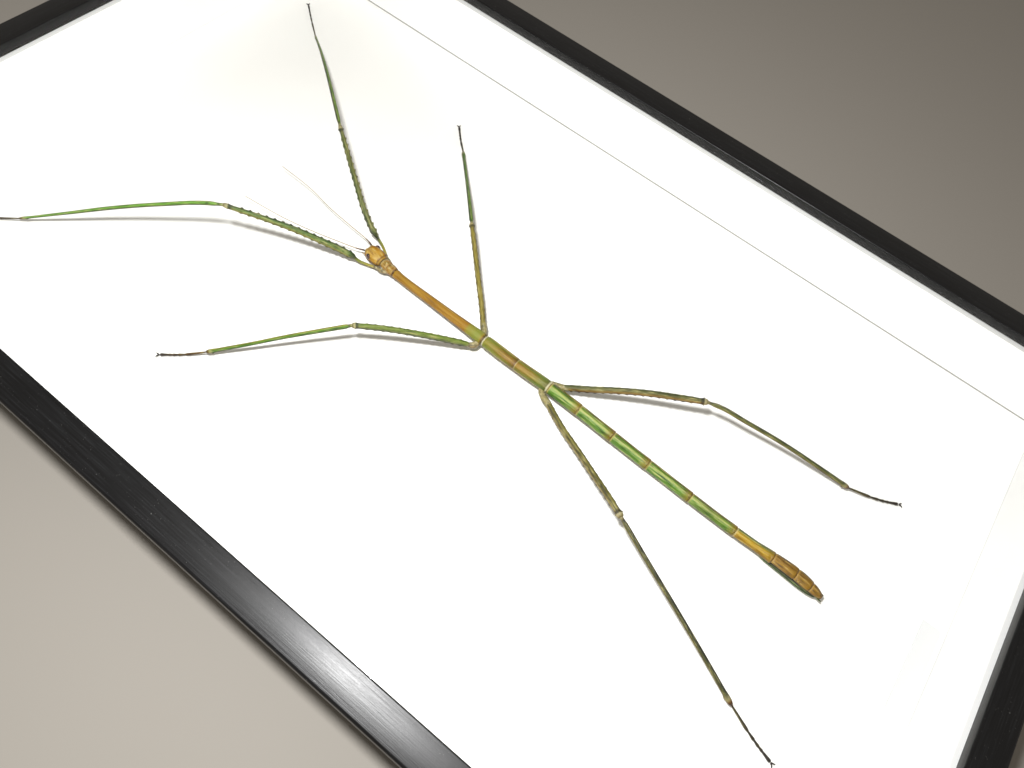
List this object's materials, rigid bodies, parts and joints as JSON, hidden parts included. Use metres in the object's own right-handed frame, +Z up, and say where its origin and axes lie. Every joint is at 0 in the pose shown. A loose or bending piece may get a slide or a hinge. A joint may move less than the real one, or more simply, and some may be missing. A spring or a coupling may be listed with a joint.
{
  "type": "framed stick insect specimen",
  "caption": "Giant stick insect dried with its legs spread, lying over a white card in a black glazed shadow-box frame with a bare label slip; the closed box rests flat on its back.",
  "frame": {"origin": "under the middle of the frame, on the plane that the back rim rests on", "axes": "+X along the long side of the frame, from the insect's head to its tail; +Y to the insect's right, towards the far long rail; +Z up, out through the glass"},
  "size_m": [0.5198, 0.3184, 0.047],
  "materials": {
    "painted_wood": "satin black paint over wood moulding",
    "glass": "clear, polished",
    "fibreboard": "bare fibreboard",
    "white_card": "matt white card",
    "white_liner": "matt white card",
    "label_paper": "matt white paper",
    "cuticle": "dried cuticle, green and brown, half gloss",
    "dark_cuticle": "dried cuticle, near black brown",
    "eye": "glossy, dark red brown"
  },
  "bodies": {
    "root": {"rail_near": "painted_wood", "rail_right": "painted_wood", "rail_far": "painted_wood", "rail_left": "painted_wood", "glass": "glass", "back_panel": "fibreboard", "mount_card": "white_card", "wall_near": "white_liner", "wall_far": "white_liner", "wall_left": "white_liner", "wall_right": "white_liner", "label": "label_paper", "head": "cuticle", "prothorax": "cuticle", "mesothorax": "cuticle", "metathorax": "cuticle", "median_segment": "cuticle", "abdomen_2": "cuticle", "abdomen_3": "cuticle", "abdomen_4": "cuticle", "abdomen_5": "cuticle", "abdomen_6": "cuticle", "abdomen_7": "cuticle", "abdomen_8": "cuticle", "abdomen_9": "cuticle", "abdomen_10": "cuticle", "egg_scoop": "cuticle", "antenna_left": "cuticle", "antenna_right": "cuticle", "eye_left": "eye", "eye_right": "eye", "coxa_front_left": "cuticle", "femur_front_left": "cuticle", "tibia_front_left": "cuticle", "coxa_front_right": "cuticle", "femur_front_right": "cuticle", "tibia_front_right": "cuticle", "coxa_mid_left": "cuticle", "femur_mid_left": "cuticle", "tibia_mid_left": "cuticle", "coxa_mid_right": "cuticle", "femur_mid_right": "cuticle", "tibia_mid_right": "cuticle", "coxa_hind_left": "cuticle", "femur_hind_left": "cuticle", "tibia_hind_left": "cuticle", "coxa_hind_right": "cuticle", "femur_hind_right": "cuticle", "tibia_hind_right": "cuticle", "tarsus_front_left": "dark_cuticle", "tarsus_front_right": "dark_cuticle", "tarsus_mid_left": "dark_cuticle", "tarsus_mid_right": "dark_cuticle", "tarsus_hind_left": "dark_cuticle", "tarsus_hind_right": "dark_cuticle"}
  },
  "joints": []
}
